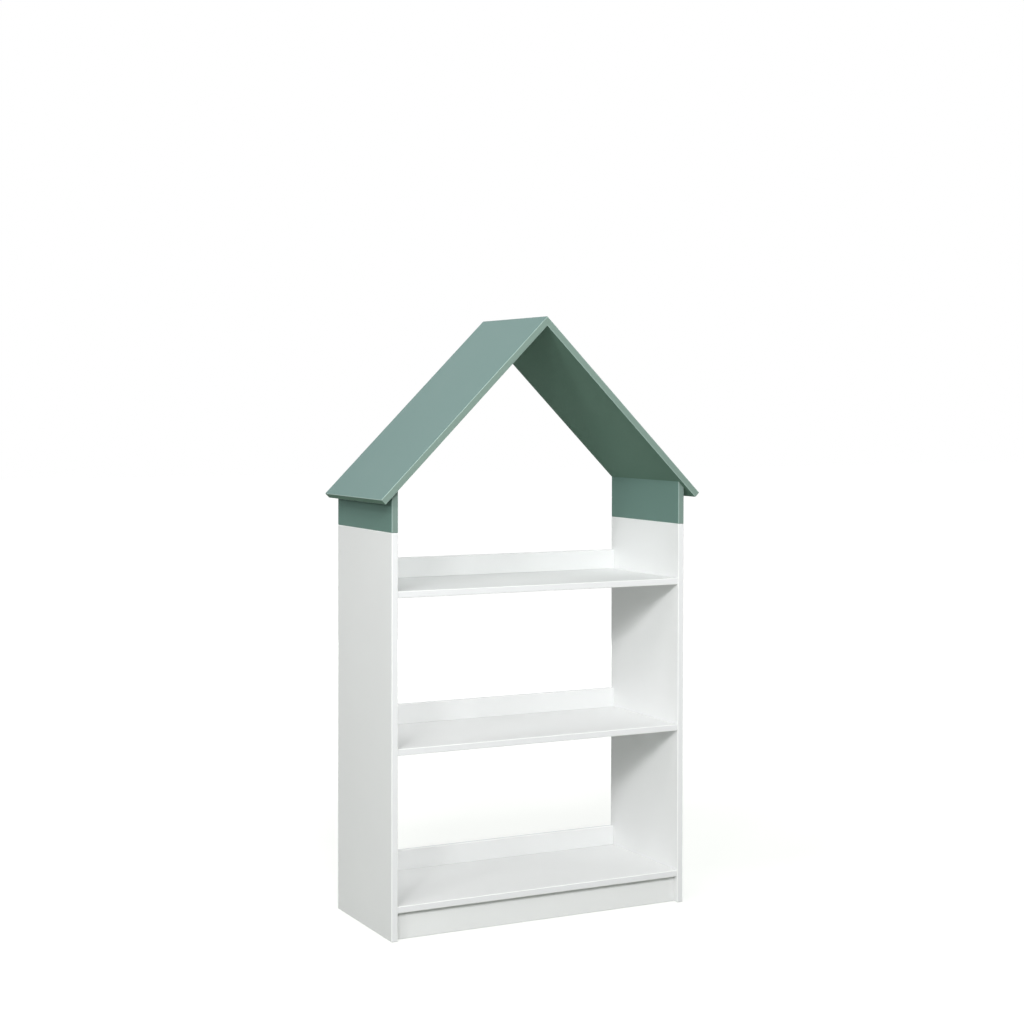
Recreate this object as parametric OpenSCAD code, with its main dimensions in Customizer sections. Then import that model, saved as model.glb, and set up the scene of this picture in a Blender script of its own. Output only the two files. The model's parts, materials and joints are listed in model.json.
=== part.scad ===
// House shaped bookcase for a child's room: a white carcass with three fixed shelves and an
// open back, under a green gable roof. Every board is a separate piece. Cam locks, dowels and
// biscuits join them, and two steel brackets hold the bookcase to the wall behind it.
// Frame: millimetres, +Z up, +X to the right seen from the front, +Y towards the wall.
// Origin: on the floor, under the middle of the roof.

/* [Carcass] */
// Width over the outer faces of the side panels
carcass_w = 900; // [700:10:1200]
// Depth of the side panels, front to back
carcass_d = 380; // [300:5:500]
// Thickness of the side panels and of the green upper sides
side_t = 18; // [16:0.5:25]
// Radius of the eased board edges
edge_r = 2; // [1:0.25:3]

/* [Shelves, rails and plinth] */
// Thickness of the shelves
shelf_t = 18; // [16:0.5:25]
// Distance from the top of one shelf to the top of the next
shelf_pitch = 416; // [250:2:500]
// How far the shelves' front edges lie behind those of the side panels
shelf_setback = 2; // [0:0.5:10]
// Thickness of the back rails
rail_t = 18; // [16:0.5:25]
// Height of the back rails above their shelves
rail_rise = 56; // [44:1:90]
// Height of the side panels above the top shelf
side_rise = 154; // [110:1:400]
// Height of the plinth
plinth_h = 74; // [62:1:100]
// Thickness of the plinth
plinth_t = 18; // [16:0.5:25]
// How far the plinth lies behind the front edges of the side panels
plinth_setback = 18; // [12:1:40]

/* [Roof] */
// Slope of the roof boards, in degrees
roof_pitch = 45; // [40:1:50]
// Thickness of the roof boards
roof_t = 18; // [16:0.5:25]
// Height of the green upper sides at their inner faces
upper_h = 120; // [90:1:200]
// How far the roof's lower edges pass the side panels' outer faces
eave_overhang = 39; // [20:1:80]
// How far the roof passes the front edges of the side panels
front_overhang = 20; // [0:1:60]

/* [Dowels and biscuits] */
// Diameter of the dowels
dowel_d = 8; // [6:0.5:8]
// Length of the dowels
dowel_l = 30; // [25:1:35]
// Depth of a dowel in the face of a board
dowel_in_face = 10; // [8:1:11]
// Height to which a roof dowel stands in its roof board
dowel_in_roof = 14; // [10:1:15]
// Room round a dowel, on its radius
dowel_clear = 0.1; // [0.05:0.05:0.2]
// Room left past the ends of dowels, bolts and screws
end_gap = 1; // [0.5:0.1:2]
// Bevel at the ends of a dowel
dowel_bevel = 1; // [0.5:0.1:1.5]
// Distance from the front and rear edges of a side panel to its nearest upright dowel
side_dowel_inset = 60; // [40:1:90]
// Thickness of the biscuits in the ridge
biscuit_t = 4; // [3:0.1:4]
// Length of a biscuit
biscuit_l = 47; // [40:1:50]
// Width of a biscuit, half of it in each roof board
biscuit_w = 15; // [12:0.5:16]
// Height of the biscuits above the ridge's inner corner
biscuit_rise = 8.5; // [8:0.1:9]
// Radius of the cutter that makes the biscuit slots and gives the biscuits their curve
biscuit_r = 50; // [48:1:60]
// Room round a biscuit
biscuit_clear = 0.1; // [0.05:0.05:0.2]

/* [Cam locks] */
// Diameter of a cam lock
cam_d = 15; // [12:0.5:15]
// Distance from a board's end to the axis of its cam lock
cam_setback = 24; // [22:0.5:34]
// How far a cam lock reaches past the axis of its bolt
cam_reach = 4.5; // [4.5:0.1:5]
// How far a cam lock lies under the board's surface
cam_recess = 0.2; // [0:0.1:0.5]
// Room round a cam lock, on its radius
cam_clear = 0.15; // [0.05:0.05:0.3]
// Length of the cross slot in a cam lock
cam_slot_l = 9; // [6:0.5:10]
// Width of the cross slot
cam_slot_w = 1.6; // [1:0.1:2]
// Depth of the cross slot
cam_slot_depth = 2.4; // [1:0.1:3]
// Diameter of a cam bolt's thread
bolt_thread_d = 6.3; // [5:0.1:7]
// Length of a cam bolt's thread, in the side panel
bolt_thread_l = 11; // [9:0.5:12]
// Diameter of a cam bolt's collar
bolt_collar_d = 7.4; // [6.6:0.1:7.6]
// Thickness of a cam bolt's collar
bolt_collar_t = 1.5; // [1:0.1:2]
// Diameter of a cam bolt's shank
bolt_shank_d = 5.8; // [5:0.1:6.4]
// Diameter of a cam bolt's neck
bolt_neck_d = 3.8; // [3:0.1:4.4]
// Diameter of a cam bolt's head
bolt_head_d = 6.8; // [6:0.1:7]
// Length of a cam bolt's head
bolt_head_l = 3; // [2:0.1:3]
// Diameter of the bore in a board's end that takes a cam bolt
bolt_bore_d = 8; // [7.8:0.1:8.4]
// Room round a cam bolt's thread, head and neck, on the radius
bolt_clear = 0.2; // [0.1:0.05:0.25]
// Distance from a shelf's front and rear edges to the axes of its cam bolts
shelf_cam_inset = 50; // [40:1:70]
// Distance from a shelf's cam bolt to the dowel beside it
shelf_dowel_gap = 32; // [20:1:48]
// Distance from a rail's or plinth's upper edge to its cam bolt
rail_cam_drop = 24; // [16:0.5:26]
// Distance from a rail's or plinth's lower edge to its end dowel
rail_dowel_rise = 20; // [12:0.5:20]

/* [Wall brackets] */
// Width of a wall bracket
bracket_w = 30; // [26:1:40]
// Length of each leg of a wall bracket
bracket_leg = 25; // [22:0.5:35]
// Thickness of a wall bracket
bracket_t = 2; // [1.5:0.1:3]
// Outer radius of the bend in a wall bracket
bracket_bend_r = 3; // [3:0.1:4]
// Distance from a side panel's inner face to the middle of the wall bracket beside it
bracket_inset = 60; // [50:1:100]
// Diameter of the wall screw's hole
wall_hole_d = 5; // [4:0.1:6]
// Distance from the shelf down to the wall screw's hole
wall_hole_drop = 15; // [12:0.5:17]
// Distance between the two wood screws of a wall bracket
screw_gap = 16; // [12:0.5:18]
// Diameter of a wood screw
screw_d = 3.5; // [3:0.1:4]
// Length of a wood screw under its head
screw_l = 16; // [12:0.5:20]
// Diameter of a wood screw's head
screw_head_d = 7; // [6:0.1:7.5]
// Height of a wood screw's head
screw_head_h = 2.2; // [1.8:0.1:2.6]
// Length of a wood screw's point
screw_point_l = 3; // [2:0.1:4]
// Room round a wood screw in the bracket, on its radius
screw_clear = 0.25; // [0.1:0.05:0.4]
// Room round a wood screw in its pilot hole, on its radius
pilot_clear = 0.1; // [0.05:0.05:0.2]
// Length of the cross recess in a wood screw's head
screw_slot_l = 4; // [3:0.1:4.5]
// Width of the cross recess
screw_slot_w = 0.8; // [0.6:0.1:1]
// Depth of the cross recess
screw_slot_depth = 1.2; // [0.8:0.1:1.4]

/* [Hidden] */
$fn = 64;
white_paint = [0.93, 0.94, 0.93];
green_paint = [0.50, 0.60, 0.57];
beech = [0.82, 0.68, 0.49];
zinc = [0.74, 0.75, 0.76];

// Room that a cutter takes past the surface that it cuts
cut = 1;
half_w = carcass_w / 2;
inner_x = half_w - side_t;
roof_d = carcass_d + front_overhang;
rear_y = roof_d / 2;
front_y = rear_y - carcass_d;

// Shelves, counted from 0 at the bottom
shelf_count = 3;
shelf_tops = [for (i = [0:shelf_count - 1]) plinth_h + shelf_t + i * shelf_pitch];
top_shelf_z = shelf_tops[shelf_count - 1];
side_h = top_shelf_z + side_rise;
shelf_front_y = front_y + shelf_setback;
shelf_rear_y = rear_y - rail_t;
shelf_d = shelf_rear_y - shelf_front_y;
shelf_cam_ys = [shelf_front_y + shelf_cam_inset, shelf_rear_y - shelf_cam_inset];
shelf_dowel_ys = [shelf_cam_ys[0] + shelf_dowel_gap, shelf_cam_ys[1] - shelf_dowel_gap];
// The long joints of a shelf have one dowel in the middle and one at each third
long_joint_xs = [-inner_x * 2 / 3, 0, inner_x * 2 / 3];

rail_h = shelf_t + rail_rise;
rail_y = rear_y - rail_t / 2;
plinth_y = front_y + plinth_setback + plinth_t / 2;

// The roof's underside meets a side's inner face at roof_foot_z
roof_foot_z = side_h + upper_h;
ridge_inner_z = roof_foot_z + inner_x * tan(roof_pitch);
ridge_z = ridge_inner_z + roof_t / cos(roof_pitch);
roof_l = (half_w + eave_overhang) / cos(roof_pitch);
// Length that the ridge's mitre takes off a roof board, so that no eased edge is left there
mitre_extra = 2 * edge_r;
side_mid_x = half_w - side_t / 2;
side_dowel_ys = [front_y + side_dowel_inset, front_y + carcass_d / 2, rear_y - side_dowel_inset];
bevel_mid_z = roof_foot_z - side_t / 2 * tan(roof_pitch);
biscuit_count = 4;
biscuit_ys = [for (i = [0:biscuit_count - 1]) roof_d * ((i + 0.5) / biscuit_count - 0.5)];
biscuit_z = ridge_inner_z + biscuit_rise;
// Distance from the ridge's plane to the centre of a slot's curve
slot_centre = biscuit_r - biscuit_w / 2 - biscuit_clear;

bracket_x = inner_x - bracket_inset;
bracket_z = top_shelf_z - shelf_t;

// ---- shapes ----

// A rectangle from the origin, with its four corners rounded
module rounded_rect(size, r) {
  translate([r, 0]) square([size[0] - 2 * r, size[1]]);
  translate([0, r]) square([size[0], size[1] - 2 * r]);
  for (x = [r, size[0] - r], y = [r, size[1] - r])
    translate([x, y]) circle(r);
}

// A board with all its edges eased
module eased_board(size) {
  intersection() {
    linear_extrude(size[2]) rounded_rect([size[0], size[1]], edge_r);
    translate([0, size[1], 0]) rotate([90, 0, 0])
      linear_extrude(size[1]) rounded_rect([size[0], size[2]], edge_r);
    rotate([90, 0, 90])
      linear_extrude(size[0]) rounded_rect([size[1], size[2]], edge_r);
  }
}

// A board that reaches from one side panel to the other, from the front lower edge given
module cross_board(y, z, depth, height) {
  translate([-inner_x, y, z]) eased_board([2 * inner_x, depth, height]);
}

// Repeats its children on the left
module both_sides() {
  children();
  mirror([1, 0, 0]) children();
}

// ---- joint frames, on the right side ----
// The origin lies on the fitting's axis, where the two boards meet. +Z points into the side
// panel, and +X towards the face from which the cam lock is turned.

module shelf_joints(shelf, ys) {
  for (y = ys)
    translate([inner_x, y, shelf_tops[shelf] - shelf_t / 2]) rotate([0, 90, 0]) children();
}

module upright_joint(y, z) {
  translate([inner_x, y, z]) rotate([0, 90, 0]) rotate([0, 0, 90]) children();
}

module rail_cam_joint(shelf) {
  upright_joint(rail_y, shelf_tops[shelf] + rail_rise - rail_cam_drop) children();
}

module rail_dowel_joint(shelf) {
  upright_joint(rail_y, shelf_tops[shelf] - shelf_t + rail_dowel_rise) children();
}

module plinth_cam_joint() {
  upright_joint(plinth_y, plinth_h - rail_cam_drop) children();
}

module plinth_dowel_joint() {
  upright_joint(plinth_y, rail_dowel_rise) children();
}

// Joints of a shelf's rear edge with its rail, with +Z into the rail
module shelf_to_rail_joints(shelf) {
  for (x = long_joint_xs)
    translate([x, shelf_rear_y, shelf_tops[shelf] - shelf_t / 2]) rotate([-90, 0, 0]) children();
}

// Joints of the plinth's upper edge with the bottom shelf, with +Z into the shelf
module plinth_to_shelf_joints() {
  for (x = long_joint_xs)
    translate([x, plinth_y, plinth_h]) children();
}

// Joints of a side panel's upper edge with the upper side, with +Z up
module upper_side_joints() {
  for (y = side_dowel_ys)
    translate([side_mid_x, y, side_h]) children();
}

// Joints of an upper side's bevel with the roof board, with +Z up
module roof_joints() {
  for (y = side_dowel_ys)
    translate([side_mid_x, y, bevel_mid_z]) children();
}

// The roof boards' frame: origin on the ridge, +X down the slope, +Z out of the roof
module roof_frame() {
  translate([0, 0, ridge_z]) rotate([0, roof_pitch, 0]) children();
}

// ---- fittings, in their joint frames ----

// A dowel with its middle plane lifted so that it stands up to the height given
module dowel(up) {
  r = dowel_d / 2;
  color(beech) translate([0, 0, up - dowel_l]) rotate_extrude()
    polygon([
      [0, 0], [r - dowel_bevel, 0], [r, dowel_bevel],
      [r, dowel_l - dowel_bevel], [r - dowel_bevel, dowel_l], [0, dowel_l]
    ]);
}

// The hole of a dowel, on both sides of the joint
module dowel_hole(up) {
  translate([0, 0, up - dowel_l - end_gap])
    cylinder(d = dowel_d + 2 * dowel_clear, h = dowel_l + 2 * end_gap);
}

// Distance from the joint to the inner end of a cam bolt's head
bolt_head_end = cam_setback + bolt_head_l / 2 + end_gap;
// Distance from the joint to the neck's outer end, just outside the cam lock
bolt_neck_end = cam_setback - cam_d / 2 - end_gap / 2;

module cam_bolt() {
  head_r = bolt_head_d / 2;
  neck_r = bolt_neck_d / 2;
  shank_r = bolt_shank_d / 2;
  collar_r = bolt_collar_d / 2;
  thread_r = bolt_thread_d / 2;
  color(zinc) rotate_extrude()
    polygon([
      [0, -bolt_head_end], [neck_r, -bolt_head_end],
      [head_r, -bolt_head_end + bolt_head_l / 3], [head_r, -bolt_head_end + bolt_head_l],
      [neck_r, -bolt_head_end + bolt_head_l], [neck_r, -bolt_neck_end],
      [shank_r, -bolt_neck_end], [shank_r, -bolt_collar_t],
      [collar_r, -bolt_collar_t], [collar_r, 0],
      [thread_r, 0], [thread_r, bolt_thread_l - thread_r / 2],
      [thread_r / 2, bolt_thread_l], [0, bolt_thread_l]
    ]);
}

// The hole of a cam bolt's thread, in the side panel
module bolt_hole() {
  translate([0, 0, -cut])
    cylinder(d = bolt_thread_d + 2 * bolt_clear, h = cut + bolt_thread_l + end_gap);
}

// A closed cam lock in a board of the thickness given. It grips the bolt behind its head.
module cam_lock(board_t) {
  face_x = board_t / 2 - cam_recess;
  color(zinc) difference() {
    translate([-cam_reach, 0, -cam_setback]) rotate([0, 90, 0])
      cylinder(d = cam_d, h = cam_reach + face_x);
    translate([0, 0, -bolt_head_end - bolt_clear])
      cylinder(d = bolt_head_d + 2 * bolt_clear, h = bolt_head_l + 2 * bolt_clear);
    translate([0, 0, -bolt_head_end])
      cylinder(d = bolt_neck_d + 2 * bolt_clear, h = bolt_head_end);
    for (turn = [45, 135])
      translate([face_x, 0, -cam_setback]) rotate([turn, 0, 0])
        cube([2 * cam_slot_depth, cam_slot_l, cam_slot_w], center = true);
  }
}

// The cam lock's hole and the bore of its bolt, in a board's end
module cam_hole(board_t) {
  translate([-cam_reach - cam_clear, 0, -cam_setback]) rotate([0, 90, 0])
    cylinder(d = cam_d + 2 * cam_clear, h = cam_reach + cam_clear + board_t / 2 + cut);
  translate([0, 0, -cam_setback])
    cylinder(d = bolt_bore_d, h = cam_setback + cut);
}

// Outline of a biscuit: two arcs of the slot cutter's radius, with blunt ends
module biscuit_outline() {
  arc_centre = biscuit_r - biscuit_w / 2;
  intersection() {
    translate([arc_centre, 0]) circle(biscuit_r);
    translate([-arc_centre, 0]) circle(biscuit_r);
    square([biscuit_w + cut, biscuit_l], center = true);
  }
}

module wood_screw() {
  r = screw_d / 2;
  head_r = screw_head_d / 2;
  color(zinc) difference() {
    rotate_extrude()
      polygon([
        [0, -screw_head_h], [head_r * 0.6, -screw_head_h], [head_r, -screw_head_h / 2],
        [head_r, 0], [r, 0], [r, screw_l - screw_point_l], [0, screw_l]
      ]);
    for (turn = [0, 90])
      translate([0, 0, -screw_head_h]) rotate(turn)
        cube([screw_slot_l, screw_slot_w, 2 * screw_slot_depth], center = true);
  }
}

// Places of a wall bracket's wood screws, on the lower face of its level leg, with +Z up
module screw_places() {
  for (dx = [-screw_gap / 2, screw_gap / 2])
    translate([bracket_x + dx, rail_y, bracket_z - bracket_t]) children();
}

// ---- boards ----

module side_panel() {
  color(white_paint) difference() {
    translate([inner_x, front_y, 0]) eased_board([side_t, carcass_d, side_h]);
    for (shelf = [0:shelf_count - 1]) {
      shelf_joints(shelf, shelf_cam_ys) bolt_hole();
      shelf_joints(shelf, shelf_dowel_ys) dowel_hole(dowel_in_face);
      rail_cam_joint(shelf) bolt_hole();
      rail_dowel_joint(shelf) dowel_hole(dowel_in_face);
    }
    plinth_cam_joint() bolt_hole();
    plinth_dowel_joint() dowel_hole(dowel_in_face);
    upper_side_joints() dowel_hole(dowel_l / 2);
  }
}

module left_side_panel() {
  mirror([1, 0, 0]) side_panel();
}

module right_side_panel() {
  side_panel();
}

module shelf_board(shelf) {
  color(white_paint) difference() {
    cross_board(shelf_front_y, shelf_tops[shelf] - shelf_t, shelf_d, shelf_t);
    both_sides() {
      shelf_joints(shelf, shelf_cam_ys) cam_hole(shelf_t);
      shelf_joints(shelf, shelf_dowel_ys) dowel_hole(dowel_in_face);
    }
    shelf_to_rail_joints(shelf) dowel_hole(dowel_in_face);
    if (shelf == 0)
      plinth_to_shelf_joints() dowel_hole(dowel_in_face);
  }
}

module bottom_shelf() {
  shelf_board(0);
}

module middle_shelf() {
  shelf_board(1);
}

module top_shelf() {
  shelf_board(2);
}

module back_rail(shelf) {
  color(white_paint) difference() {
    cross_board(shelf_rear_y, shelf_tops[shelf] - shelf_t, rail_t, rail_h);
    both_sides() {
      rail_cam_joint(shelf) cam_hole(rail_t);
      rail_dowel_joint(shelf) dowel_hole(dowel_in_face);
      if (shelf == shelf_count - 1)
        screw_places()
          cylinder(d = screw_d + 2 * pilot_clear, h = screw_l + end_gap);
    }
    shelf_to_rail_joints(shelf) dowel_hole(dowel_in_face);
  }
}

module bottom_back_rail() {
  back_rail(0);
}

module middle_back_rail() {
  back_rail(1);
}

module top_back_rail() {
  back_rail(2);
}

module plinth_board() {
  color(white_paint) difference() {
    cross_board(plinth_y - plinth_t / 2, 0, plinth_t, plinth_h);
    both_sides() {
      plinth_cam_joint() cam_hole(plinth_t);
      plinth_dowel_joint() dowel_hole(dowel_in_face);
    }
    plinth_to_shelf_joints() dowel_hole(dowel_in_face);
  }
}

module upper_side() {
  color(green_paint) difference() {
    translate([inner_x, front_y, side_h])
      eased_board([side_t, carcass_d, upper_h + 2 * edge_r]);
    roof_frame() translate([0, -roof_d, -roof_t])
      cube([roof_l + roof_t, 2 * roof_d, side_t + 2 * roof_t]);
    upper_side_joints() dowel_hole(dowel_l / 2);
    roof_joints() dowel_hole(dowel_in_roof);
  }
}

module left_upper_side() {
  mirror([1, 0, 0]) upper_side();
}

module right_upper_side() {
  upper_side();
}

module roof_board() {
  color(green_paint) difference() {
    roof_frame() translate([-mitre_extra, -roof_d / 2, -roof_t])
      eased_board([roof_l + mitre_extra, roof_d, roof_t]);
    // The ridge's mitre
    translate([-2 * roof_t, -roof_d, ridge_inner_z - roof_t])
      cube([2 * roof_t, 2 * roof_d, 4 * roof_t]);
    for (y = biscuit_ys)
      translate([-slot_centre, y, biscuit_z - biscuit_t / 2 - biscuit_clear])
        cylinder(r = biscuit_r, h = biscuit_t + 2 * biscuit_clear, $fn = 128);
    roof_joints() dowel_hole(dowel_in_roof);
  }
}

module left_roof_board() {
  mirror([1, 0, 0]) roof_board();
}

module right_roof_board() {
  roof_board();
}

// ---- groups of fittings ----

module shelf_cam_locks() {
  both_sides() for (shelf = [0:shelf_count - 1])
    shelf_joints(shelf, shelf_cam_ys) cam_lock(shelf_t);
}

module rail_cam_locks() {
  both_sides() for (shelf = [0:shelf_count - 1])
    rail_cam_joint(shelf) cam_lock(rail_t);
}

module plinth_cam_locks() {
  both_sides() plinth_cam_joint() cam_lock(plinth_t);
}

module shelf_cam_bolts() {
  both_sides() for (shelf = [0:shelf_count - 1])
    shelf_joints(shelf, shelf_cam_ys) cam_bolt();
}

module rail_cam_bolts() {
  both_sides() for (shelf = [0:shelf_count - 1])
    rail_cam_joint(shelf) cam_bolt();
}

module plinth_cam_bolts() {
  both_sides() plinth_cam_joint() cam_bolt();
}

module shelf_end_dowels() {
  both_sides() for (shelf = [0:shelf_count - 1])
    shelf_joints(shelf, shelf_dowel_ys) dowel(dowel_in_face);
}

module rail_end_dowels() {
  both_sides() for (shelf = [0:shelf_count - 1])
    rail_dowel_joint(shelf) dowel(dowel_in_face);
}

module plinth_end_dowels() {
  both_sides() plinth_dowel_joint() dowel(dowel_in_face);
}

module shelf_to_rail_dowels() {
  for (shelf = [0:shelf_count - 1])
    shelf_to_rail_joints(shelf) dowel(dowel_in_face);
}

module plinth_to_shelf_dowels() {
  plinth_to_shelf_joints() dowel(dowel_in_face);
}

module upper_side_dowels() {
  both_sides() upper_side_joints() dowel(dowel_l / 2);
}

module roof_dowels() {
  both_sides() roof_joints() dowel(dowel_in_roof);
}

module ridge_biscuits() {
  color(beech) for (y = biscuit_ys)
    translate([0, y, biscuit_z - biscuit_t / 2])
      linear_extrude(biscuit_t) biscuit_outline($fn = 128);
}

// ---- wall brackets ----

// Outline of a bracket in the YZ plane, with its outer corner at the origin
module bracket_outline() {
  translate([-bracket_leg, -bracket_t]) square([bracket_leg - bracket_bend_r, bracket_t]);
  translate([-bracket_t, -bracket_leg]) square([bracket_t, bracket_leg - bracket_bend_r]);
  translate([-bracket_bend_r, -bracket_bend_r]) intersection() {
    square(bracket_bend_r);
    difference() {
      circle(bracket_bend_r);
      circle(bracket_bend_r - bracket_t);
    }
  }
}

module wall_bracket() {
  color(zinc) difference() {
    translate([bracket_x - bracket_w / 2, rear_y, bracket_z]) rotate([90, 0, 90])
      linear_extrude(bracket_w) bracket_outline();
    screw_places() translate([0, 0, -cut])
      cylinder(d = screw_d + 2 * screw_clear, h = bracket_t + 2 * cut);
    translate([bracket_x, rear_y + cut, bracket_z - wall_hole_drop]) rotate([90, 0, 0])
      cylinder(d = wall_hole_d, h = bracket_t + 2 * cut);
  }
}

module left_wall_bracket() {
  mirror([1, 0, 0]) wall_bracket();
}

module right_wall_bracket() {
  wall_bracket();
}

module bracket_screws() {
  both_sides() screw_places() wood_screw();
}

left_side_panel();
right_side_panel();
bottom_shelf();
middle_shelf();
top_shelf();
bottom_back_rail();
middle_back_rail();
top_back_rail();
plinth_board();
left_upper_side();
right_upper_side();
left_roof_board();
right_roof_board();
shelf_cam_locks();
rail_cam_locks();
plinth_cam_locks();
shelf_cam_bolts();
rail_cam_bolts();
plinth_cam_bolts();
shelf_end_dowels();
rail_end_dowels();
plinth_end_dowels();
shelf_to_rail_dowels();
plinth_to_shelf_dowels();
upper_side_dowels();
roof_dowels();
ridge_biscuits();
left_wall_bracket();
right_wall_bracket();
bracket_screws();
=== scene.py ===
import json
import math

import bpy
from mathutils import Matrix, Vector

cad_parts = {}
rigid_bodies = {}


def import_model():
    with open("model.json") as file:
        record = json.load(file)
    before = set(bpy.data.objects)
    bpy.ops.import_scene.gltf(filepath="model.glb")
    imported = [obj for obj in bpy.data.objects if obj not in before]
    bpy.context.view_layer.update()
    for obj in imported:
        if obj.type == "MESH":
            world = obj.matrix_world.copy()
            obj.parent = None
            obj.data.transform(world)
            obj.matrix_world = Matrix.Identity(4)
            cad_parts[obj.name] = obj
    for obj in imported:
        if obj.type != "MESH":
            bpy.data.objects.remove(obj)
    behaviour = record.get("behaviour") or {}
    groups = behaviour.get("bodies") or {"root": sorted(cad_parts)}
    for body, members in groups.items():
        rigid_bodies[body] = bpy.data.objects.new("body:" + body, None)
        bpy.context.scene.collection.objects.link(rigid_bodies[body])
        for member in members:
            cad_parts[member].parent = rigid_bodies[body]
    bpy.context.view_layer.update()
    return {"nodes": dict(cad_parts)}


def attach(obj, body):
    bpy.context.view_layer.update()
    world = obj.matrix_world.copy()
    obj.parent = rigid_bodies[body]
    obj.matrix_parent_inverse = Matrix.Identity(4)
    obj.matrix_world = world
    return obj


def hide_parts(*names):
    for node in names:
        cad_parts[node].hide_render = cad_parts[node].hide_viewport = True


# House shaped bookcase. The boards come from the CAD model and get their lacquer here.
# The fittings in their joints are modelled again, with threads, flutes, slots and grooves.

for leftover in list(bpy.data.objects):
    bpy.data.objects.remove(leftover)

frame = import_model()
nodes = frame["nodes"]
bpy.ops.object.select_all(action="DESELECT")
print("CAD model loaded:", len(nodes), "nodes")


def hexColour(code):
    parts = [int(code[i:i + 2], 16) / 255 for i in (1, 3, 5)]
    return [c / 12.92 if c <= 0.04045 else ((c + 0.055) / 1.055) ** 2.4 for c in parts] + [1]


def newMaterial(name):
    material = bpy.data.materials.new(name)
    material.use_nodes = True
    material.node_tree.nodes.clear()
    return material, material.node_tree


def addNode(tree, kind, settings=None, links=None):
    # settings and links name an input, or give its number where two share a name
    node = tree.nodes.new(kind)
    for name, value in (settings or {}).items():
        if isinstance(name, int) or name in node.inputs:
            node.inputs[name].default_value = value
        else:
            setattr(node, name, value)
    for name, source in (links or {}).items():
        tree.links.new(source, node.inputs[name])
    return node


def perMm(size):
    # texture scale for a pattern of this size in millimetres
    return 1000 / size


def fromTo(start, end, low=0.0, high=1.0):
    # settings of a Map Range node
    return {"From Min": start, "From Max": end, "To Min": low, "To Max": high}


noiseSpan = (0.3, 0.7)    # most of a noise texture's values lie between these


# Boards: MDF, sprayed with satin lacquer. The film is even and has no grain, only a faint
# orange peel. The sawn edges drink more of it and keep fine long lines; on the sage boards they
# are paler and greyer than the faces. The eased arrises are rubbed smoother, and their paler
# colour is a painted highlight. The sides that look down get a deeper colour, a painted shade.
whiteLacquer = {
    "full": "#EFF0F0",
    "thin": "#EBECEC",
    # painted shade for the sides that look down
    "under": "#EDEEEE",
    "edge": "#EEEFF0",
    "edgeLine": "#E6E7E9",
    # painted highlight of the eased arrises
    "paintedArrisHighlight": "#FBFCFB",
    "roughness": (0.62, 0.7),
    "edgeRoughness": 0.66,
    "arrisRoughness": 0.38,
    "ior": 1.45,
    "specular": 0.06,
    "patch": 160,         # mm, as all lengths below
    "peel": 3.5,          # real peel is 1 to 3 mm, drawn a little coarser
    "peelHeight": 0.0035,
    "line": 1.6,          # layers of fibre in the edge
    "lineLength": 70,
    "lineHeight": 0.02,
}
sageLacquer = dict(
    whiteLacquer,
    full="#748D89",
    thin="#708985",
    # painted shade for the sides that look down
    under="#607C6E",
    edge="#849990",
    edgeLine="#7E938A",
    # painted highlight of the eased arrises
    paintedArrisHighlight="#A0B6AF",
)
# the upper sides get a darker, greener copy of the roof's lacquer, a painted shade
shadedSageSides = dict(
    sageLacquer,
    full="#6C8880",
    thin="#68847C",
    edge="#82968F",
    edgeLine="#7C9089",
)
# share of the normal that lies along a board's thickness: where a finish starts, and is full
finishZones = {
    "edge": (0.75, 0.25),
    "arrisFromFace": (0.97, 0.85),
    "arrisFromEdge": (0.15, 0.4),
    # where the painted shade of the sides that look down starts, and is full
    "down": (-0.45, -0.65),     # height of the normal, for the sides that look down
}
# how each board is turned to lay its thickness along X
boardTurns = {
    "upright": (0, 0, 0),
    "level": (0, math.radians(90), 0),
    "cross": (0, 0, math.radians(90)),
    "leftSlope": (0, math.radians(-45), 0),
    "rightSlope": (0, math.radians(45), 0),
}
boards = {
    "upright": ["left_side_panel", "right_side_panel", "left_upper_side", "right_upper_side"],
    "level": ["bottom_shelf", "middle_shelf", "top_shelf"],
    "cross": ["bottom_back_rail", "middle_back_rail", "top_back_rail", "plinth_board"],
    "leftSlope": ["left_roof_board"],
    "rightSlope": ["right_roof_board"],
}


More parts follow.
